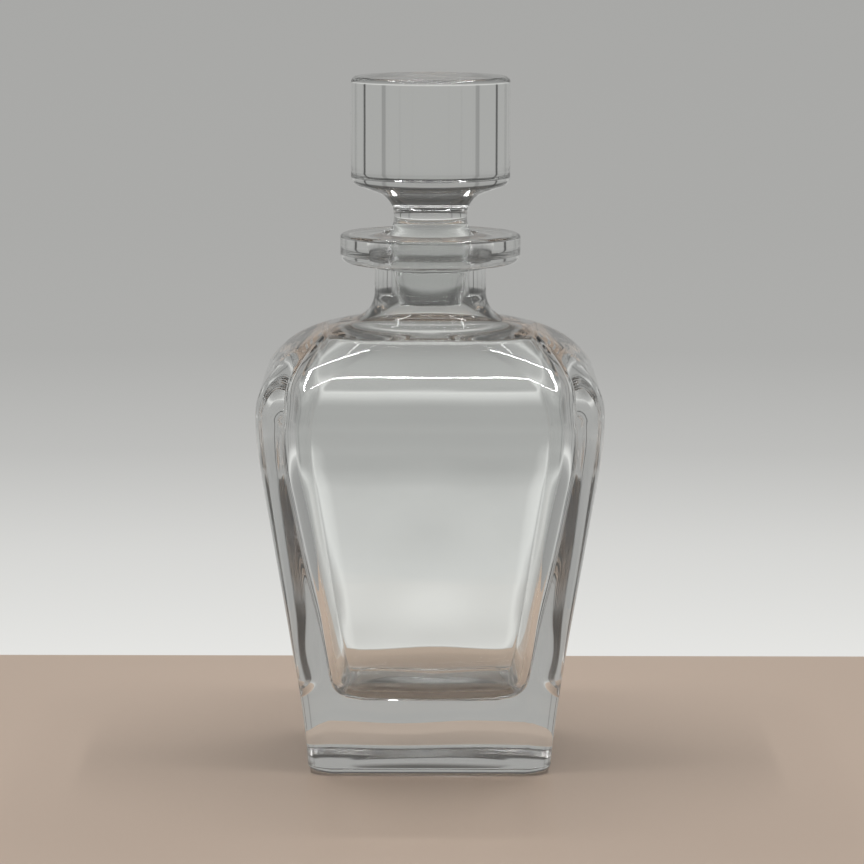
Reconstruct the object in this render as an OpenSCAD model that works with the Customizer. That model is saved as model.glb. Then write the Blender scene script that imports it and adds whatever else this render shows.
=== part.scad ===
// Square-shouldered glass decanter with a solid glass stopper.
// Millimetres. The origin is the centre of the foot, on the surface that the decanter stands on.
// +Z is up, and the four flat sides face +X, -X, +Y and -Y.

/* [Foot] */
// Width across the flats where the sides would meet the table
foot_w = 84.2; // [82:0.2:86]
// Outward lean of the sides at the table, in degrees
foot_lean = 4.7; // [4:0.1:6]
// Level where the sides reach their full lean
foot_curve_h = 40; // [34:1:46]
// Radius of the upright corners at the table
foot_corner_r = 8; // [7:0.5:10]
// Radius of the edge under the foot
foot_edge_r = 3.2; // [2.5:0.1:3.5]
// Thickness of the solid glass under the cavity
foot_h = 25.5; // [22:0.5:28]
// Radius of the shallow hollow under the foot
punt_r = 30; // [26:0.5:32]
// Depth of the shallow hollow under the foot
punt_depth = 0.8; // [0.6:0.1:1.4]

/* [Sides] */
// Width across the flats at the widest level
body_w = 120; // [118:0.2:124]
// Outward lean of the flat sides above the foot, in degrees
side_lean = 9.5; // [9:0.1:10]
// Radius of the swell between the leaning side and the widest level
swell_r = 108; // [96:1:116]
// Radius of the upright corners at the widest level
body_corner_r = 18; // [14:0.5:20]

/* [Shoulder] */
// Radius of the shoulder's outer part
shoulder_r = 20; // [18:0.5:24]
// Sweep of the shoulder's outer part, in degrees
shoulder_sweep = 36; // [33:1:39]
// Radius of the shoulder's upper part
crown_r = 42; // [40:0.5:44]
// Slope of the shoulder's top, in degrees
crown_slope = 10; // [8:0.5:12]

/* [Cavity] */
// Width across the cavity's flats at its widest level
cavity_w = 95.2; // [94:0.2:96.4]
// Width across the cavity's flats where its sides would meet the table
cavity_foot_w = 58.4; // [57.6:0.2:59]
// Outward lean of the cavity's sides, in degrees
cavity_lean = 9.3; // [9.1:0.1:9.6]
// Radius of the swell between the cavity's leaning side and its widest level
cavity_swell_r = 96; // [90:1:104]
// Radius of the cavity's upright corners
cavity_corner_r = 8; // [6:0.5:9]
// Radius between the cavity's floor and its sides
floor_r = 9; // [7:0.5:11]
// Radius of the cavity's shoulder
cavity_shoulder_r = 38; // [37:0.5:39]
// Sweep of the cavity's shoulder, in degrees
cavity_shoulder_sweep = 45; // [42:1:47]
// Radius between the cavity's shoulder and its ceiling
ceiling_edge_r = 6; // [5:0.5:8]
// Slope of the cavity's ceiling, in degrees
ceiling_slope = 20; // [17:0.5:22]
// Radius of the flare between the ceiling and the bore
flare_r = 20; // [19:0.5:21]

/* [Neck and mouth] */
// Height of the bottle without its stopper
bottle_h = 185; // [184.5:0.5:188]
// Outside diameter of the neck
neck_d = 39.2; // [38.6:0.2:40]
// Radius between shoulder and neck
neck_fillet_r = 9.5; // [9:0.25:10.5]
// Diameter of the flanged lip
lip_d = 63.2; // [60:0.2:66]
// Thickness of the flanged lip
lip_t = 10.4; // [9.6:0.2:11]
// Radius of the lip's lower edge
lip_under_edge_r = 3.6; // [3:0.1:4]
// Radius of the lip's upper edge
lip_top_edge_r = 1.4; // [1:0.1:2]
// Radius between the neck and the lip
lip_fillet_r = 2; // [1.5:0.25:2.5]
// Radius of the rounding at the mouth
mouth_r = 2.5; // [2:0.25:3]

/* [Stopper] */
// Diameter of the stopper's head
head_d = 55.8; // [52:0.2:60]
// Height of the stopper's top above the table
total_h = 240; // [238:0.5:246]
// Height of the head's upright side, from its lower corner to its top
head_h = 38.4; // [36.5:0.2:39]
// Radius of the head's top edge
head_edge_r = 2.2; // [1.8:0.1:3.5]
// Radius of the head's lower edge
head_corner_r = 3.5; // [3:0.25:4]
// Slope of the head's underside, in degrees
head_under_slope = 20; // [18:0.5:22]
// Diameter of the waist under the head
waist_d = 25.6; // [25:0.2:26]
// Radius of the waist's hollow curve
waist_curve_r = 9; // [8.5:0.25:9.5]
// Sweep of the waist's curve below its narrowest level, in degrees
waist_sweep = 22; // [20:1:24]
// Diameter of the plug's taper where the plug meets the top of its seat
plug_d = 29.2; // [29:0.1:29.4]
// Half angle of the plug's taper, in degrees
plug_taper = 10; // [9.5:0.25:10.5]
// Length of the plug below the top of its seat
plug_h = 21; // [18:0.5:22]
// Radius of the plug's lower edge
plug_edge_r = 0.8; // [0.5:0.1:1]
// Clearance between the plug and its seat, on the radius
seat_clearance = 0.1; // [0.08:0.01:0.15]

/* [Hidden] */

// Facets of the exact round surfaces, and the colours
round_fn = 128;
bottle_colour = [0.86, 0.90, 0.88, 0.45];
stopper_colour = [0.90, 0.93, 0.91, 0.55];

// Steps round one corner of a ring
corner_steps = 10;
// Steps along the arcs of an upright outline
arc_steps = 8;
// Half of a ring's flat side spans at least this many degrees, so that a round ring keeps its points apart
least_flat_angle = 4;
// The square ring has become a circle at this half width
round_a = 29;

// Half widths and radii worked out from the sizes above
foot_a = foot_w / 2;
body_a = body_w / 2;
cavity_a = cavity_w / 2;
neck_r = neck_d / 2;

// The faceted body and cavity run this far past the exact neck and bore, and miss their radii by this little
join_overlap = 2;
join_step = 0.1;

// Levels of the plug and of its seat in the mouth
plug_top_z = bottle_h - 3.5;
plug_bottom_z = plug_top_z - plug_h;
seat_bottom_z = plug_top_z - 7.5;

// Radius of the tapered plug at a level, and of the bore below the seat
function plug_r(z) = plug_d / 2 - (plug_top_z - z) * tan(plug_taper);
throat_r = plug_r(seat_bottom_z) + seat_clearance;

// ---- Outlines ----

// Points along an arc about centre, from one angle to another
function arc(centre, r, from, to, steps = arc_steps) =
    [for (i = [0:steps]) let (t = from + (to - from) * i / steps) centre + r * [cos(t), sin(t)]];

// Level where a straight side through p, which leans outwards, reaches a swell of radius r to half width a
function swell_start(p, lean, a, r) = p[1] + (a - p[0] - r * (1 - cos(lean))) / tan(lean);
function widest_z(p, lean, a, r) = swell_start(p, lean, a, r) + r * sin(lean);

// Centre of an inner arc of radius r2 that carries on from the arc about centre of radius r1 at an angle
function next_centre(centre, r1, r2, angle) = centre + (r1 - r2) * [cos(angle), sin(angle)];

// Fillet of radius r from a top that slopes up through p to a tube of radius tube_r
function tube_fillet(p, slope, tube_r, r) =
    let (
        start_x = tube_r + r * (1 - sin(slope)),
        start_z = p[1] + (p[0] - start_x) * tan(slope),
        centre = [tube_r + r, start_z + r * cos(slope)]
    )
    arc(centre, r, 270 - slope, 180);

// Outer outline through the middle of one side, from the table to the neck, as [half width, level].
// The foot's sides lean further out as they rise, along a large arc whose centre is outside the glass.
foot_curve_r = foot_curve_h / (sin(side_lean) - sin(foot_lean));
foot_curve_centre = [foot_a + foot_curve_r * cos(foot_lean), -foot_curve_r * sin(foot_lean)];
foot_curve = arc(foot_curve_centre, foot_curve_r, 180 - foot_lean, 180 - side_lean);
outer_widest_z = widest_z(foot_curve[arc_steps], side_lean, body_a, swell_r);
shoulder_centre = [body_a - shoulder_r, outer_widest_z];
crown_centre = next_centre(shoulder_centre, shoulder_r, crown_r, shoulder_sweep);
crown_end = crown_centre + crown_r * [sin(crown_slope), cos(crown_slope)];
foot_edge_centre = [foot_a + foot_edge_r * (tan(foot_lean) - 1 / cos(foot_lean)), foot_edge_r];
outer_outline = concat(
    arc(foot_edge_centre, foot_edge_r, -90, -foot_lean, 5),
    [for (i = [2:arc_steps]) foot_curve[i]],
    arc([body_a - swell_r, outer_widest_z], swell_r, -side_lean, 0),
    arc(shoulder_centre, shoulder_r, 4, shoulder_sweep, 6),
    arc(crown_centre, crown_r, shoulder_sweep + 4, 90 - crown_slope),
    tube_fillet(crown_end, crown_slope, neck_r, neck_fillet_r)
);

// Outline of the cavity, from its floor to the bore
cavity_foot = [cavity_foot_w / 2, 0];
cavity_widest_z = widest_z(cavity_foot, cavity_lean, cavity_a, cavity_swell_r);
cavity_shoulder_centre = [cavity_a - cavity_shoulder_r, cavity_widest_z];
ceiling_edge_centre = next_centre(
    cavity_shoulder_centre, cavity_shoulder_r, ceiling_edge_r, cavity_shoulder_sweep
);
ceiling_start = ceiling_edge_centre + ceiling_edge_r * [sin(ceiling_slope), cos(ceiling_slope)];
floor_fillet_z = foot_h + floor_r;
floor_fillet_a = cavity_foot[0] + floor_fillet_z * tan(cavity_lean) - floor_r / cos(cavity_lean);
cavity_outline = concat(
    arc([floor_fillet_a, floor_fillet_z], floor_r, -90, -cavity_lean, 6),
    arc([cavity_a - cavity_swell_r, cavity_widest_z], cavity_swell_r, -cavity_lean, 0),
    arc(cavity_shoulder_centre, cavity_shoulder_r, 4, cavity_shoulder_sweep),
    arc(ceiling_edge_centre, ceiling_edge_r, cavity_shoulder_sweep + 6, 90 - ceiling_slope, 3),
    tube_fillet(ceiling_start, ceiling_slope, throat_r + join_step, flare_r)
);

// ---- Rings of a square with rounded corners ----

// Radius of the outer corners at a point of the outline
function outer_corner(p) =
    p[1] < outer_widest_z
        ? foot_corner_r + (body_corner_r - foot_corner_r) * p[1] / outer_widest_z
        : corner_to_round(p[0], body_a, body_corner_r);

// Radius of the cavity's corners at a point of its outline
function cavity_corner(p) =
    p[1] < cavity_widest_z ? cavity_corner_r : corner_to_round(p[0], cavity_a, cavity_corner_r);

// A corner radius that grows from r, where the half width is widest, to a full circle at round_a
function corner_to_round(a, widest, r) =
    let (k = min(1, max(0, (widest - a) / (widest - round_a))))
    min(a, r + (a - r) * pow(k, 1.5));

// Distance from the axis to a rounded square at angle t between 0 and 90 degrees
function edge_distance(a, c, t) =
    let (h = a - c, side_end = atan2(h, a))
    t < side_end ? a / cos(t)
        : t > 90 - side_end ? a / sin(t)
        : h * (cos(t) + sin(t)) + sqrt(max(0, c * c - pow(h * (cos(t) - sin(t)), 2)));

// Angles of one quadrant's points, which run round its corner from one flat side to the next
function quadrant_angles(a, c) =
    let (side_end = max(least_flat_angle, atan2(a - c, a)), corner = 90 - 2 * side_end)
    [for (i = [0:corner_steps]) side_end + corner * i / corner_steps];

// One ring: a is its half width, c its corner radius, z its level
function ring(a, c, z) =
    let (angles = quadrant_angles(a, c))
    [for (q = [0:3], t = angles) let (d = edge_distance(a, c, t)) [d * cos(t + 90 * q), d * sin(t + 90 * q), z]];

// Closed solid through a list of rings, from the lowest to the highest
module loft(rings) {
    n = len(rings[0]);
    top = len(rings) - 1;
    sides = [for (k = [0:top - 1], i = [0:n - 1]) let (j = (i + 1) % n)
        each [[k * n + i, (k + 1) * n + i, (k + 1) * n + j], [k * n + i, (k + 1) * n + j, k * n + j]]];
    bottom_cap = [[for (i = [0:n - 1]) i]];
    top_cap = [[for (i = [n - 1:-1:0]) top * n + i]];
    polyhedron(points = [for (r = rings) each r], faces = concat(bottom_cap, sides, top_cap));
}

// ---- Bottle ----

module body_solid() {
    loft([for (p = outer_outline) ring(p[0], outer_corner(p), p[1])]);
}

module cavity() {
    loft([for (p = cavity_outline) ring(p[0], cavity_corner(p), p[1])]);
}

// Neck and lip, which start inside the top of the body
module neck_and_lip() {
    neck_start_z = outer_outline[len(outer_outline) - 1][1] - join_overlap;
    lip_r = lip_d / 2;
    under_z = bottle_h - lip_t;
    outline = concat(
        [[0, neck_start_z], [neck_r - join_step, neck_start_z]],
        arc([neck_r + lip_fillet_r, under_z - lip_fillet_r], lip_fillet_r, 180, 90, 6),
        arc([lip_r - lip_under_edge_r, under_z + lip_under_edge_r], lip_under_edge_r, -90, 0),
        arc([lip_r - lip_top_edge_r, bottle_h - lip_top_edge_r], lip_top_edge_r, 0, 90),
        [[0, bottle_h]]
    );
    rotate_extrude($fn = round_fn) polygon(outline);
}

// The way in: a rounded mouth, the seat that matches the plug, and the bore down into the cavity's flare
module bore_and_seat() {
    bore_start_z = cavity_outline[len(cavity_outline) - 1][1] - join_overlap;
    seat_top_z = bottle_h - mouth_r;
    seat_top_r = plug_r(seat_top_z) + seat_clearance;
    outline = concat(
        [[0, bore_start_z], [throat_r, bore_start_z], [throat_r, seat_bottom_z]],
        arc([seat_top_r + mouth_r, seat_top_z], mouth_r, 180 - plug_taper, 90, 6),
        [[seat_top_r + mouth_r, bottle_h + 1], [0, bottle_h + 1]]
    );
    rotate_extrude($fn = round_fn) polygon(outline);
}

// Shallow hollow under the foot, cut by the cap of a large ball
module punt() {
    ball_r = (punt_r * punt_r + punt_depth * punt_depth) / (2 * punt_depth);
    half_angle = asin(punt_r / ball_r);
    cap = arc([0, punt_depth - ball_r], ball_r, 90 - half_angle, 90);
    rotate_extrude($fn = round_fn) polygon(concat([[0, -1], [punt_r, -1]], cap));
}

module bottle() {
    color(bottle_colour)
    difference() {
        union() {
            body_solid();
            neck_and_lip();
        }
        cavity();
        bore_and_seat();
        punt();
    }
}

// ---- Stopper ----

// Centre of the waist's hollow curve, which meets the head's underside and is upright at the narrowest level
head_corner = [head_d / 2 - head_corner_r, total_h - head_h + head_corner_r];
under_start = head_corner + head_corner_r * [sin(head_under_slope), -cos(head_under_slope)];
under_end_x = waist_d / 2 + waist_curve_r * (1 - sin(head_under_slope));
under_end_z = under_start[1] - (under_start[0] - under_end_x) * tan(head_under_slope);
waist_centre = [waist_d / 2 + waist_curve_r, under_end_z - waist_curve_r * cos(head_under_slope)];

// Radius and centre of the rounding that joins the waist's curve to the plug's taper without a corner
waist_low = waist_centre - waist_curve_r * [cos(waist_sweep), sin(waist_sweep)];
plug_shoulder_r = (plug_r(waist_low[1]) - waist_low[0])
    / (1 / cos(plug_taper) + sin(waist_sweep) * tan(plug_taper) - cos(waist_sweep));
plug_shoulder_centre = waist_low - plug_shoulder_r * [cos(waist_sweep), sin(waist_sweep)];

module stopper() {
    bottom_edge = [plug_r(plug_bottom_z) - plug_edge_r, plug_bottom_z + plug_edge_r];
    outline = concat(
        [[0, plug_bottom_z]],
        arc(bottom_edge, plug_edge_r, -90, -plug_taper, 4),
        arc(plug_shoulder_centre, plug_shoulder_r, -plug_taper, waist_sweep),
        arc(waist_centre, waist_curve_r, 180 + waist_sweep - 4, 90 + head_under_slope, 12),
        arc(head_corner, head_corner_r, head_under_slope - 90, 0),
        arc([head_d / 2 - head_edge_r, total_h - head_edge_r], head_edge_r, 0, 90),
        [[0, total_h]]
    );
    color(stopper_colour)
    rotate_extrude($fn = round_fn) polygon(outline);
}

bottle();
stopper();
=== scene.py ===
"""Looks for the glass decanter: a smooth bottle and stopper in clear glass, on a pale floor.

The bottle and the stopper are rebuilt here from the same outlines as the CAD part, with fine rings,
because the CAD mesh is faceted and glass shows every facet. Lengths are in metres and angles in degrees.
"""

import math

import bpy
import numpy as np
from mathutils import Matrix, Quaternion, Vector


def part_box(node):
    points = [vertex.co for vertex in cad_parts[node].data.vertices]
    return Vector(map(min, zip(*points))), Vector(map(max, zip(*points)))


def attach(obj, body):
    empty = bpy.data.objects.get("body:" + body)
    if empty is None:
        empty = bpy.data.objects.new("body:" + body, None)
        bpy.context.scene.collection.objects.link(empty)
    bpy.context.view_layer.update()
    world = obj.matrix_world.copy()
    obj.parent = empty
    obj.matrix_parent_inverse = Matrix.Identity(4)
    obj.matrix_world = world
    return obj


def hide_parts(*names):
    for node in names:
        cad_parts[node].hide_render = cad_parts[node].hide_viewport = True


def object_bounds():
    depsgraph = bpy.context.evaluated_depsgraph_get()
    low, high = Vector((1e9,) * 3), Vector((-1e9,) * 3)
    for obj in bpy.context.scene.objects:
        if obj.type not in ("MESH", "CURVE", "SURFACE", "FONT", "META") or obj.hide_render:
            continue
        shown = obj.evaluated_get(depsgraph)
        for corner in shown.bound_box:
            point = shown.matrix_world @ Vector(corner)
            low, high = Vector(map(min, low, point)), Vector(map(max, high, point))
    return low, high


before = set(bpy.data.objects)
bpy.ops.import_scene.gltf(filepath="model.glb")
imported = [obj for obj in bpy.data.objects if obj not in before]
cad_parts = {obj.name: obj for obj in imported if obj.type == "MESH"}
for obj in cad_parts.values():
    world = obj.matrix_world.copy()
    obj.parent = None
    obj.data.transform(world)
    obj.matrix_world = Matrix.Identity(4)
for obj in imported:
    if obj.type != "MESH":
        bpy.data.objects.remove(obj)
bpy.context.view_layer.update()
MM = 0.001


# ---- Sizes of the bottle, as in the CAD part ----

FOOT_A = 42.1 * MM
FOOT_LEAN = 4.7
FOOT_CURVE_H = 40 * MM
FOOT_CORNER_R = 8 * MM
FOOT_EDGE_R = 3.2 * MM
FOOT_H = 25.5 * MM
PUNT_R = 30 * MM
PUNT_DEPTH = 0.8 * MM
BODY_A = 60 * MM
SIDE_LEAN = 9.5
SWELL_R = 108 * MM
BODY_CORNER_R = 18 * MM
SHOULDER_R = 20 * MM
SHOULDER_SWEEP = 36
CROWN_R = 42 * MM
CROWN_SLOPE = 10
CAVITY_A = 47.6 * MM
CAVITY_FOOT_A = 29.2 * MM
CAVITY_LEAN = 9.3
CAVITY_SWELL_R = 96 * MM
CAVITY_CORNER_R = 8 * MM
FLOOR_R = 9 * MM
CAVITY_SHOULDER_R = 38 * MM
CAVITY_SHOULDER_SWEEP = 45
CEILING_EDGE_R = 6 * MM
CEILING_SLOPE = 20
FLARE_R = 20 * MM
BOTTLE_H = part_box("bottle")[1][2]
NECK_R = 19.6 * MM
NECK_FILLET_R = 9.5 * MM
LIP_R = 31.6 * MM
LIP_T = 10.4 * MM
LIP_UNDER_EDGE_R = 3.6 * MM
LIP_TOP_EDGE_R = 1.4 * MM
LIP_FILLET_R = 2 * MM
MOUTH_R = 2.5 * MM
# Half width at which the rings of the shoulders have become round
ROUND_A = 29 * MM

# ---- Sizes of the stopper ----

HEAD_R = 27.9 * MM
TOTAL_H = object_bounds()[1][2]
HEAD_H = 38.4 * MM
HEAD_EDGE_R = 2.2 * MM
HEAD_CORNER_R = 3.5 * MM
HEAD_UNDER_SLOPE = 20
WAIST_R = 12.8 * MM
WAIST_CURVE_R = 9 * MM
WAIST_SWEEP = 22
PLUG_R = 14.6 * MM
PLUG_TAPER = 10
PLUG_H = 21 * MM
PLUG_EDGE_R = 0.8 * MM
SEAT_CLEARANCE = 0.1 * MM
PLUG_TOP_Z = BOTTLE_H - 3.5 * MM
SEAT_BOTTOM_Z = PLUG_TOP_Z - 7.5 * MM

# ---- Fineness of the meshes ----

# Points along half a flat side and round one corner
FLAT_STEPS = 6
CORNER_STEPS = 28
# The corners' points never spread closer to the middle of a side than this angle
LEAST_FLAT_ANGLE = 8
# Degrees of an arc, and length of a straight stretch, between two rings
ARC_STEP = 2.0
LEAST_ARC_STEPS = 4
LINE_STEP = 2.0 * MM
SAME_POINT = 1e-7
# Rings across the punt, the rim outside it, the foot's curved sides and the cavity's floor
PUNT_STEPS = 16
RIM_STEPS = 5
FOOT_STEPS = 20
FLOOR_STEPS = 24
# First and last ring of the stopper, next to its axis
AXIS_RING_R = 0.5 * MM

# ---- Ripples in the glass ----

# Heights of the slow ripples in the cavity's surface and in the outer surface
RIPPLE_DEPTH = 0.03 * MM
OUTER_RIPPLE_DEPTH = 0.02 * MM
# How much deeper the ripples are in the thick glass near the foot, and the level below which they deepen
FOOT_RIPPLE = 5.0
FOOT_RIPPLE_Z = 58 * MM
FOOT_RIPPLE_FADE = 20 * MM
# The ripples end this far above the cavity's widest level, and fade out over the stretch below that
RIPPLE_TOP = 25 * MM
RIPPLE_TOP_FADE = 15 * MM
OUTER_RIPPLE_FOOT_FADE = 5 * MM
# Distance from the cavity's sides to a line inside the glass: vertices beyond the line are outer ones
HALF_WALL = 5 * MM


def cosd(angle):
    return math.cos(math.radians(angle))


def sind(angle):
    return math.sin(math.radians(angle))


def tand(angle):
    return math.tan(math.radians(angle))


# ---- Outlines: lists of (half width, level) ----


def arc(centre, r, start, end):
    steps = max(LEAST_ARC_STEPS, math.ceil(abs(end - start) / ARC_STEP))
    angles = [start + (end - start) * i / steps for i in range(steps + 1)]
    return [(centre[0] + r * cosd(t), centre[1] + r * sind(t)) for t in angles]


def joined(*parts):
    """One outline through all the parts, with straight stretches between them cut into short steps."""
    points = []
    for part in parts:
        for point in part:
            if points:
                length = math.dist(points[-1], point)
                if length < SAME_POINT:
                    continue
                start = points[-1]
                cuts = math.ceil(length / LINE_STEP)
                for i in range(1, cuts):
                    share = i / cuts
                    points.append(tuple(a + (b - a) * share for a, b in zip(start, point)))
            points.append(point)
    return points


def widest_z(start, lean, a, r):
    """Level where a side through start, which leans outwards, has swollen to the half width a."""
    swell_start = start[1] + (a - start[0] - r * (1 - cosd(lean))) / tand(lean)
    return swell_start + r * sind(lean)


def next_centre(centre, r1, r2, angle):
    """Centre of an arc of radius r2 that carries on from one of radius r1 at the angle."""
    return (centre[0] + (r1 - r2) * cosd(angle), centre[1] + (r1 - r2) * sind(angle))


def tube_fillet(point, slope, tube_r, r):
    """Arc from a top that slopes up through the point to an upright tube."""
    start_x = tube_r + r * (1 - sind(slope))
    start_z = point[1] + (point[0] - start_x) * tand(slope)
    return arc((tube_r + r, start_z + r * cosd(slope)), r, 270 - slope, 180)


def plug_r(z):
    return PLUG_R - (PLUG_TOP_Z - z) * tand(PLUG_TAPER)


THROAT_R = plug_r(SEAT_BOTTOM_Z) + SEAT_CLEARANCE


def foot_curve():
    """The foot's sides, which lean further out as they rise."""
    r = FOOT_CURVE_H / (sind(SIDE_LEAN) - sind(FOOT_LEAN))
    centre = (FOOT_A + r * cosd(FOOT_LEAN), -r * sind(FOOT_LEAN))
    leans = [FOOT_LEAN + (SIDE_LEAN - FOOT_LEAN) * i / FOOT_STEPS for i in range(2, FOOT_STEPS + 1)]
    return [(centre[0] - r * cosd(lean), centre[1] + r * sind(lean)) for lean in leans]


OUTER_WIDEST_Z = widest_z(foot_curve()[-1], SIDE_LEAN, BODY_A, SWELL_R)
CAVITY_WIDEST_Z = widest_z((CAVITY_FOOT_A, 0), CAVITY_LEAN, CAVITY_A, CAVITY_SWELL_R)


def punt_outline():
    """The shallow hollow under the foot, from its middle out."""
    ball_r = (PUNT_R**2 + PUNT_DEPTH**2) / (2 * PUNT_DEPTH)
    radii = [PUNT_R * i / PUNT_STEPS for i in range(1, PUNT_STEPS + 1)]
    return [(r, PUNT_DEPTH - ball_r + math.sqrt(ball_r**2 - r**2)) for r in radii]


def outer_outline():
    """From the foot's bottom edge up to the neck."""
    edge = (FOOT_A + FOOT_EDGE_R * (tand(FOOT_LEAN) - 1 / cosd(FOOT_LEAN)), FOOT_EDGE_R)
    shoulder = (BODY_A - SHOULDER_R, OUTER_WIDEST_Z)
    crown = next_centre(shoulder, SHOULDER_R, CROWN_R, SHOULDER_SWEEP)
    crown_end = (crown[0] + CROWN_R * sind(CROWN_SLOPE), crown[1] + CROWN_R * cosd(CROWN_SLOPE))
    return joined(
        arc(edge, FOOT_EDGE_R, -90, -FOOT_LEAN),
        foot_curve(),
        arc((BODY_A - SWELL_R, OUTER_WIDEST_Z), SWELL_R, -SIDE_LEAN, 0),
        arc(shoulder, SHOULDER_R, 0, SHOULDER_SWEEP),
        arc(crown, CROWN_R, SHOULDER_SWEEP, 90 - CROWN_SLOPE),
        tube_fillet(crown_end, CROWN_SLOPE, NECK_R, NECK_FILLET_R),
    )


def lip_outline():
    """From the neck up to the top of the lip."""
    under_z = BOTTLE_H - LIP_T
    return [
        *arc((NECK_R + LIP_FILLET_R, under_z - LIP_FILLET_R), LIP_FILLET_R, 180, 90),
        *arc((LIP_R - LIP_UNDER_EDGE_R, under_z + LIP_UNDER_EDGE_R), LIP_UNDER_EDGE_R, -90, 0),
        *arc((LIP_R - LIP_TOP_EDGE_R, BOTTLE_H - LIP_TOP_EDGE_R), LIP_TOP_EDGE_R, 0, 90),
    ]


def mouth_outline():
    """From the top of the lip down through the seat, in that order."""
    seat_top_z = BOTTLE_H - MOUTH_R
    seat_top_r = plug_r(seat_top_z) + SEAT_CLEARANCE
    rounding = arc((seat_top_r + MOUTH_R, seat_top_z), MOUTH_R, 90, 180 - PLUG_TAPER)
    return [*rounding, (THROAT_R, SEAT_BOTTOM_Z)]


def cavity_outline():
    """From the bore down to the floor."""
    shoulder = (CAVITY_A - CAVITY_SHOULDER_R, CAVITY_WIDEST_Z)
    edge = next_centre(shoulder, CAVITY_SHOULDER_R, CEILING_EDGE_R, CAVITY_SHOULDER_SWEEP)
    ceiling_start = (
        edge[0] + CEILING_EDGE_R * sind(CEILING_SLOPE),
        edge[1] + CEILING_EDGE_R * cosd(CEILING_SLOPE),
    )
    floor_z = FOOT_H + FLOOR_R
    floor_a = CAVITY_FOOT_A + floor_z * tand(CAVITY_LEAN) - FLOOR_R / cosd(CAVITY_LEAN)
    return joined(
        tube_fillet(ceiling_start, CEILING_SLOPE, THROAT_R, FLARE_R)[::-1],
        arc(edge, CEILING_EDGE_R, 90 - CEILING_SLOPE, CAVITY_SHOULDER_SWEEP),
        arc(shoulder, CAVITY_SHOULDER_R, CAVITY_SHOULDER_SWEEP, 0),
        arc((CAVITY_A - CAVITY_SWELL_R, CAVITY_WIDEST_Z), CAVITY_SWELL_R, 0, -CAVITY_LEAN),
        arc((floor_a, floor_z), FLOOR_R, -CAVITY_LEAN, -90),
    )


# ---- Rings of a square with rounded corners ----


def corner_to_round(a, widest, r):
    """Corner radius that grows from r, at the widest half width, until the ring is round at ROUND_A."""
    share = min(1, max(0, (widest - a) / (widest - ROUND_A)))
    return min(a, r + (a - r) * share**1.5)


def outer_corner(a, z):
    if z < OUTER_WIDEST_Z:
        return FOOT_CORNER_R + (BODY_CORNER_R - FOOT_CORNER_R) * z / OUTER_WIDEST_Z
    return corner_to_round(a, BODY_A, BODY_CORNER_R)


def cavity_corner(a, z):
    if z < CAVITY_WIDEST_Z:
        return min(a, CAVITY_CORNER_R)
    return corner_to_round(a, CAVITY_A, CAVITY_CORNER_R)


def round_corner(a, z):
    return a


def quadrant_angles(a, c):
    """Angles of one quarter of a ring: half a flat side, a corner and half the next side."""
    side_end = max(LEAST_FLAT_ANGLE, math.degrees(math.atan2(a - c, a)))
    flat = np.arange(FLAT_STEPS) / FLAT_STEPS
    corner = side_end + (90 - 2 * side_end) * np.arange(CORNER_STEPS) / CORNER_STEPS
    return np.concatenate([side_end * flat, corner, 90 - side_end + side_end * flat])


def ring(a, c, z):
    """Square of half width a with corners of radius c, at the level z."""
    angles = np.radians(quadrant_angles(a, c))
    h = a - c
    side_end = math.atan2(h, a)
    cos, sin = np.cos(angles), np.sin(angles)
    on_corner = h * (cos + sin) + np.sqrt(np.maximum(0, c * c - (h * (cos - sin)) ** 2))
    # Each side's distance is used only near the middle of that side, where its divisor is far above 0
    not_zero = 0.1
    on_side = a / np.maximum(cos, not_zero)
    on_next_side = a / np.maximum(sin, not_zero)
    distance = np.where(angles > math.pi / 2 - side_end, on_next_side, on_corner)
    distance = np.where(angles < side_end, on_side, distance)
    x, y = distance * cos, distance * sin
    quarter = [np.stack([x, y], 1), np.stack([-y, x], 1), np.stack([-x, -y], 1), np.stack([y, -x], 1)]
    flat_ring = np.concatenate(quarter)
    return np.column_stack([flat_ring, np.full(len(flat_ring), z)])


def lathe(name, rings, start_z, end_z):
    """Closed mesh through the rings, from a point on the axis at start_z to one at end_z."""
    n = len(rings[0])
    vertices = np.concatenate([*rings, [[0, 0, start_z], [0, 0, end_z]]])
    start, end = len(vertices) - 2, len(vertices) - 1
    last = (len(rings) - 1) * n
    faces = [(start, (i + 1) % n, i) for i in range(n)]
    for k in range(len(rings) - 1):
        for i in range(n):
            j = (i + 1) % n
            faces.append((k * n + i, k * n + j, (k + 1) * n + j, (k + 1) * n + i))
    faces += [(last + i, last + (i + 1) % n, end) for i in range(n)]
    mesh = bpy.data.meshes.new(name)
    mesh.from_pydata(vertices.tolist(), [], faces)
    mesh.shade_smooth()
    mesh.update()
    piece = bpy.data.objects.new(name, mesh)
    bpy.context.scene.collection.objects.link(piece)
    return piece


def rings_along(outline, corner):
    return [ring(a, corner(a, z), z) for a, z in outline]


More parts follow.
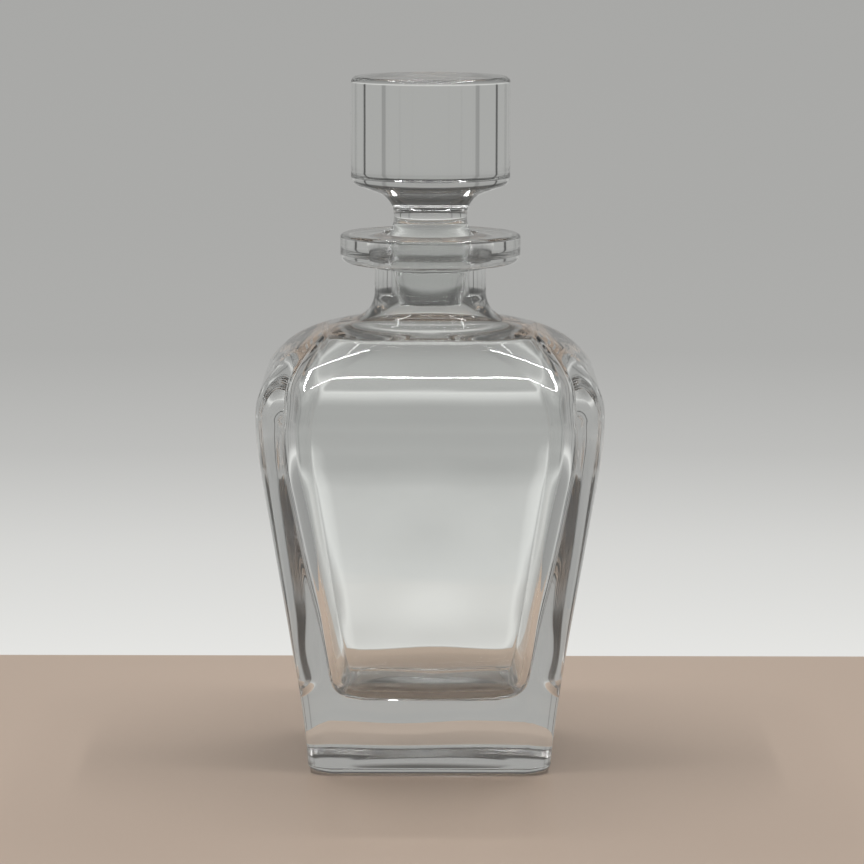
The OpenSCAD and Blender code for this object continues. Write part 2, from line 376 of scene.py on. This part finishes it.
def ripple(piece, low_z, high_z, depth, outer_depth):
    """Push the sides in and out a little, as pressed glass is never quite flat, and least so inside."""
    mesh = piece.data
    places = np.empty(3 * len(mesh.vertices), np.float32)
    normals = np.empty(3 * len(mesh.vertices), np.float32)
    mesh.vertices.foreach_get("co", places)
    mesh.vertex_normals.foreach_get("vector", normals)
    places = places.reshape(-1, 3).astype(float)
    x, y, z = places.T
    # Up to the shoulder, this half width is over the cavity's and under the outer one
    limit = CAVITY_FOOT_A + z * tand(CAVITY_LEAN) + HALF_WALL
    inside = (z >= low_z) & (z <= high_z) & (np.maximum(abs(x), abs(y)) < limit)
    outside = (z > FOOT_EDGE_R) & (z <= high_z) & (np.maximum(abs(x), abs(y)) >= limit)
    # Waves 38 to 70 mm long: radians per metre, and freely chosen starts
    wave = np.sin(150 * x + 1.3) * np.cos(130 * z + 0.5)
    wave += np.sin(140 * y - 0.7) * np.cos(165 * z + 2.1)
    wave += 0.6 * np.sin(90 * (x - y) + 115 * z)
    slow_wave = np.sin(110 * x - 0.4) * np.cos(95 * z + 1.1) + np.sin(105 * y + 0.9) * np.cos(90 * z - 0.6)
    fade = np.clip((high_z - z) / RIPPLE_TOP_FADE, 0, 1)
    outer_fade = fade * np.clip((z - FOOT_EDGE_R) / OUTER_RIPPLE_FOOT_FADE, 0, 1)
    deeper = 1 + FOOT_RIPPLE * np.clip((FOOT_RIPPLE_Z - z) / FOOT_RIPPLE_FADE, 0, 1)
    push = deeper * (depth * wave * inside * fade + outer_depth * slow_wave * outside * outer_fade)
    places += normals.reshape(-1, 3) * push[:, None]
    mesh.vertices.foreach_set("co", places.astype(np.float32).ravel())
    mesh.update()


def make_bottle():
    outer = outer_outline()
    neck = joined([outer[-1]], lip_outline(), mouth_outline(), [cavity_outline()[0]])[1:]
    cavity = cavity_outline()[1:]
    floor_a = cavity[-1][0]
    floor = [(floor_a * i / FLOOR_STEPS, FOOT_H) for i in range(FLOOR_STEPS - 1, 0, -1)]
    rings = rings_along(punt_outline(), round_corner)
    # The rim goes from the round punt to the square foot
    for i in range(1, RIM_STEPS):
        share = i / RIM_STEPS
        a = PUNT_R + (outer[0][0] - PUNT_R) * share
        rings.append(ring(a, a + (outer_corner(*outer[0]) - a) * share, 0))
    rings += rings_along(outer, outer_corner)
    rings += rings_along(neck, round_corner)
    rings += rings_along(cavity, cavity_corner)
    rings += rings_along(floor, cavity_corner)
    piece = lathe("bottle_glass_body", rings, PUNT_DEPTH, FOOT_H)
    ripple(piece, FOOT_H, CAVITY_WIDEST_Z + RIPPLE_TOP, RIPPLE_DEPTH, OUTER_RIPPLE_DEPTH)
    return piece


def stopper_outline():
    """From the middle of the plug's bottom up to the middle of the head's top."""
    bottom_z = PLUG_TOP_Z - PLUG_H
    head_corner = (HEAD_R - HEAD_CORNER_R, TOTAL_H - HEAD_H + HEAD_CORNER_R)
    under_start = (
        head_corner[0] + HEAD_CORNER_R * sind(HEAD_UNDER_SLOPE),
        head_corner[1] - HEAD_CORNER_R * cosd(HEAD_UNDER_SLOPE),
    )
    under_x = WAIST_R + WAIST_CURVE_R * (1 - sind(HEAD_UNDER_SLOPE))
    under_z = under_start[1] - (under_start[0] - under_x) * tand(HEAD_UNDER_SLOPE)
    waist = (WAIST_R + WAIST_CURVE_R, under_z - WAIST_CURVE_R * cosd(HEAD_UNDER_SLOPE))
    low = (waist[0] - WAIST_CURVE_R * cosd(WAIST_SWEEP), waist[1] - WAIST_CURVE_R * sind(WAIST_SWEEP))
    swing = 1 / cosd(PLUG_TAPER) + sind(WAIST_SWEEP) * tand(PLUG_TAPER) - cosd(WAIST_SWEEP)
    shoulder_r = (plug_r(low[1]) - low[0]) / swing
    shoulder = (low[0] - shoulder_r * cosd(WAIST_SWEEP), low[1] - shoulder_r * sind(WAIST_SWEEP))
    return joined(
        [(AXIS_RING_R, bottom_z)],
        arc((plug_r(bottom_z) - PLUG_EDGE_R, bottom_z + PLUG_EDGE_R), PLUG_EDGE_R, -90, -PLUG_TAPER),
        arc(shoulder, shoulder_r, -PLUG_TAPER, WAIST_SWEEP),
        arc(waist, WAIST_CURVE_R, 180 + WAIST_SWEEP, 90 + HEAD_UNDER_SLOPE),
        arc(head_corner, HEAD_CORNER_R, HEAD_UNDER_SLOPE - 90, 0),
        arc((HEAD_R - HEAD_EDGE_R, TOTAL_H - HEAD_EDGE_R), HEAD_EDGE_R, 0, 90),
        [(AXIS_RING_R, TOTAL_H)],
    )


def make_stopper():
    outline = stopper_outline()
    return lathe("stopper_glass", rings_along(outline, round_corner), outline[0][1], TOTAL_H)


def grind(piece, low_z, high_z, widest):
    """Give the ground finish, in the piece's second material slot, to the faces of a tapered zone."""
    for face in piece.data.polygons:
        x, y, z = face.center
        if low_z < z < high_z and math.hypot(x, y) < widest and abs(face.normal.z) < 0.5:
            face.material_index = 1


# ---- Shader nodes ----


def math_node(nodes, links, operation, first, second=None):
    node = nodes.new("ShaderNodeMath")
    node.operation = operation
    for socket, value in zip(node.inputs, (first, second)):
        if isinstance(value, (int, float)):
            socket.default_value = value
        elif value is not None:
            links.new(value, socket)
    return node.outputs[0]


def map_range(nodes, links, value, low, high, to_low, to_high):
    node = nodes.new("ShaderNodeMapRange")
    node.inputs["From Min"].default_value = low
    node.inputs["From Max"].default_value = high
    node.inputs["To Min"].default_value = to_low
    node.inputs["To Max"].default_value = to_high
    links.new(value, node.inputs["Value"])
    return node.outputs["Result"]


# ---- Materials ----

GLASS_IOR = 1.52
CLEAR_TINT = (0.97, 0.98, 0.975)
# Least and most roughness of the polished and the ground glass
CLEAR_ROUGHNESS = (0.0, 0.012)
GROUND_ROUGHNESS = (0.1, 0.16)
HAZE_SCALE = 45
HAZE_DETAIL = 3
# Values of the haze noise that get the least and the most roughness
HAZE_LOW, HAZE_HIGH = 0.35, 0.75
CLEAR_GRAIN_SCALE = 60
CLEAR_GRAIN_DEPTH = 0.02 * MM
GROUND_GRAIN_SCALE = 3000
GROUND_GRAIN_DEPTH = 0.01 * MM
GRAIN_DETAIL = 2


def new_material(name):
    material = bpy.data.materials.new(name)
    material.use_nodes = True
    nodes = material.node_tree.nodes
    return material, nodes, material.node_tree.links, nodes["Principled BSDF"]


def noise(nodes, links, place, scale, detail):
    texture = nodes.new("ShaderNodeTexNoise")
    texture.inputs["Scale"].default_value = scale
    texture.inputs["Detail"].default_value = detail
    links.new(place.outputs["Object"], texture.inputs["Vector"])
    return texture.outputs["Fac"]


def glass_material(name, roughness, grain_scale, grain_depth):
    """Clear glass: roughness is a (least, most) pair, and the grain is a fine bump."""
    material, nodes, links, shader = new_material(name)
    shader.inputs["Base Color"].default_value = (*CLEAR_TINT, 1)
    shader.inputs["Transmission Weight"].default_value = 1
    shader.inputs["IOR"].default_value = GLASS_IOR
    place = nodes.new("ShaderNodeTexCoord")
    haze = noise(nodes, links, place, HAZE_SCALE, HAZE_DETAIL)
    uneven = map_range(nodes, links, haze, HAZE_LOW, HAZE_HIGH, *roughness)
    links.new(uneven, shader.inputs["Roughness"])
    bump = nodes.new("ShaderNodeBump")
    bump.inputs["Strength"].default_value = 1
    bump.inputs["Distance"].default_value = grain_depth
    grain = noise(nodes, links, place, grain_scale, GRAIN_DETAIL)
    links.new(grain, bump.inputs["Height"])
    links.new(bump.outputs["Normal"], shader.inputs["Normal"])
    return material


def clear_glass(name):
    return glass_material(name, CLEAR_ROUGHNESS, CLEAR_GRAIN_SCALE, CLEAR_GRAIN_DEPTH)


def ground_glass(name):
    return glass_material(name, GROUND_ROUGHNESS, GROUND_GRAIN_SCALE, GROUND_GRAIN_DEPTH)


# ---- Surroundings ----

FLOOR_HALF = 0.177
FLOOR_T = 0.02
FLOOR_COLOR = (0.60, 0.47, 0.375, 1)
FLOOR_ROUGHNESS = 0.35
# Air between the foot and the floor, because glass in touch with it would lose its inner reflections
FLOOR_GAP = 0.15 * MM


def make_floor():
    bpy.ops.mesh.primitive_cube_add(size=1, location=(0, 0, -FLOOR_T / 2 - FLOOR_GAP))
    floor = bpy.context.object
    floor.name = "floor"
    floor.scale = (2 * FLOOR_HALF, 2 * FLOOR_HALF, FLOOR_T)
    material, _, _, shader = new_material("floor_paint")
    shader.inputs["Base Color"].default_value = FLOOR_COLOR
    shader.inputs["Roughness"].default_value = FLOOR_ROUGHNESS
    floor.data.materials.append(material)


# Brightness of the surroundings by height: pairs of the view direction's Z and the brightness
SKY_BY_HEIGHT = [
    (-0.60, 0.25),
    (-0.30, 0.35),
    (-0.22, 0.52),
    (-0.193, 0.80),
    (-0.165, 0.67),
    (-0.143, 0.515),
    (-0.120, 0.425),
    (-0.090, 0.405),
    (0.02, 0.38),
    (0.12, 0.36),
    (0.22, 0.38),
    (0.30, 0.12),
    (0.40, 0.08),
]
SKY_LOW, SKY_HIGH = -0.60, 0.40
# Share of blue against red and green in the surroundings
SKY_BLUE = 0.975

# Three thin upright flags stand towards each of the four diagonals: one on it and one to either side.
# Angles are in degrees, and the outer flags have a third of the middle one's darkness.
FLAG_HALF_WIDTH = 0.9
FLAG_SOFTNESS = 1.0
FLAG_DARKNESS = 0.85
FLAG_SPACING = 19
FLAGS_REACH = 24
# View direction's Z where the flags begin, and where they reach their full darkness
FLAG_BOTTOM_Z = -0.15
FLAG_FULL_Z = -0.12


def flags(nodes, links, split):
    """1 where no flag stands and less in front of one."""
    across = math_node(nodes, links, "ABSOLUTE", split.outputs["X"])
    along = math_node(nodes, links, "ABSOLUTE", split.outputs["Y"])
    turn = math_node(nodes, links, "ARCTAN2", across, along)
    off_diagonal = math_node(nodes, links, "SUBTRACT", turn, math.pi / 4)
    away = math_node(nodes, links, "ABSOLUTE", off_diagonal)
    edge = math.radians(FLAG_HALF_WIDTH)
    soft = math.radians(FLAG_SOFTNESS)
    spacing = math.radians(FLAG_SPACING)
    nearest = math_node(nodes, links, "PINGPONG", away, spacing / 2)
    darkness = map_range(nodes, links, away, 0, spacing, FLAG_DARKNESS, FLAG_DARKNESS / 3)
    bare = map_range(nodes, links, nearest, edge, edge + soft, 1, 0)
    wide = math_node(nodes, links, "MULTIPLY", bare, darkness)
    in_reach = math_node(nodes, links, "LESS_THAN", away, math.radians(FLAGS_REACH))
    tall = map_range(nodes, links, split.outputs["Z"], FLAG_BOTTOM_Z, FLAG_FULL_Z, 0, 1)
    seen = math_node(nodes, links, "MULTIPLY", tall, in_reach)
    shade = math_node(nodes, links, "MULTIPLY", wide, seen)
    return math_node(nodes, links, "SUBTRACT", 1.0, shade)


def make_world():
    world = bpy.data.worlds.new("studio")
    bpy.context.scene.world = world
    world.use_nodes = True
    nodes, links = world.node_tree.nodes, world.node_tree.links
    nodes.clear()
    output = nodes.new("ShaderNodeOutputWorld")
    background = nodes.new("ShaderNodeBackground")
    place = nodes.new("ShaderNodeTexCoord")
    split = nodes.new("ShaderNodeSeparateXYZ")
    ramp = nodes.new("ShaderNodeValToRGB")
    links.new(place.outputs["Generated"], split.inputs[0])
    height = map_range(nodes, links, split.outputs["Z"], SKY_LOW, SKY_HIGH, 0, 1)
    links.new(height, ramp.inputs["Fac"])
    elements = ramp.color_ramp.elements
    while len(elements) < len(SKY_BY_HEIGHT):
        elements.new(0.5)
    for element, (z, value) in zip(elements, SKY_BY_HEIGHT):
        element.position = (z - SKY_LOW) / (SKY_HIGH - SKY_LOW)
        element.color = (value, value, value * SKY_BLUE, 1)
    links.new(ramp.outputs["Color"], background.inputs["Color"])
    links.new(flags(nodes, links, split), background.inputs["Strength"])
    links.new(background.outputs["Background"], output.inputs["Surface"])


def make_light(name, place, aim, size, power):
    data = bpy.data.lights.new(name, "AREA")
    data.shape = "RECTANGLE"
    data.size, data.size_y = size
    data.energy = power
    light = bpy.data.objects.new(name, data)
    bpy.context.scene.collection.objects.link(light)
    light.location = place
    light.rotation_euler = (aim - place).to_track_quat("-Z", "Y").to_euler()


# Width of the square of lights and of one bar, and each bar's power
FRAME_LIGHT_W = 0.9
FRAME_LIGHT_BAR = 0.03
FRAME_LIGHT_CENTRE = Vector((0, 0.1, 1.2))
FRAME_LIGHT_POWER = 4.0


def make_frame_light():
    """Four thin bars overhead, in a square: smooth glass shows them as fine white lines."""
    for i, (x, y) in enumerate([(0, -1), (1, 0), (0, 1), (-1, 0)]):
        place = FRAME_LIGHT_CENTRE + Vector((x, y, 0)) * FRAME_LIGHT_W / 2
        size = (FRAME_LIGHT_W, FRAME_LIGHT_BAR) if x == 0 else (FRAME_LIGHT_BAR, FRAME_LIGHT_W)
        make_light(f"frame_light_{i}", place, place - Vector((0, 0, 1)), size, FRAME_LIGHT_POWER)


# ---- Camera ----

CAMERA_DISTANCE = 1.5
CAMERA_H = 0.325
AIM = Vector((0.0007, 0, 0.1145))
# The sensor's width and the lens's focal length are in millimetres
SENSOR_W = 36
FOCAL_LENGTH = 178.75
CAMERA_ROLL = 0.12


def make_camera():
    data = bpy.data.cameras.new("camera")
    data.sensor_width = SENSOR_W
    data.lens = FOCAL_LENGTH
    camera = bpy.data.objects.new("camera", data)
    bpy.context.scene.collection.objects.link(camera)
    camera.location = (0, -CAMERA_DISTANCE, CAMERA_H)
    aim = (AIM - camera.location).to_track_quat("-Z", "Y")
    roll = Quaternion((0, 0, 1), math.radians(CAMERA_ROLL))
    camera.rotation_euler = (aim @ roll).to_euler()
    bpy.context.scene.camera = camera


# ---- The scene ----

# Light is followed through this many surfaces: with fewer, the thick side walls come out black
BOUNCES = 20

make_camera()
make_floor()
make_world()
make_frame_light()
bpy.context.scene.cycles.max_bounces = BOUNCES
bpy.context.scene.cycles.transmission_bounces = BOUNCES
bpy.context.scene.cycles.glossy_bounces = BOUNCES
bpy.context.scene.view_settings.view_transform = "Standard"

# Half width that holds the whole plug and its seat
GROUND_REACH = PLUG_R + 0.5 * MM

bottle = make_bottle()
bottle.data.materials.append(clear_glass("bottle_glass"))
bottle.data.materials.append(ground_glass("ground_seat"))
grind(bottle, SEAT_BOTTOM_Z, BOTTLE_H - MOUTH_R, GROUND_REACH)
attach(bottle, "bottle")
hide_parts("bottle")

stopper = make_stopper()
stopper.data.materials.append(clear_glass("stopper_glass"))
stopper.data.materials.append(ground_glass("ground_plug"))
grind(stopper, PLUG_TOP_Z - PLUG_H, PLUG_TOP_Z, GROUND_REACH)
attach(stopper, "stopper")
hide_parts("stopper")
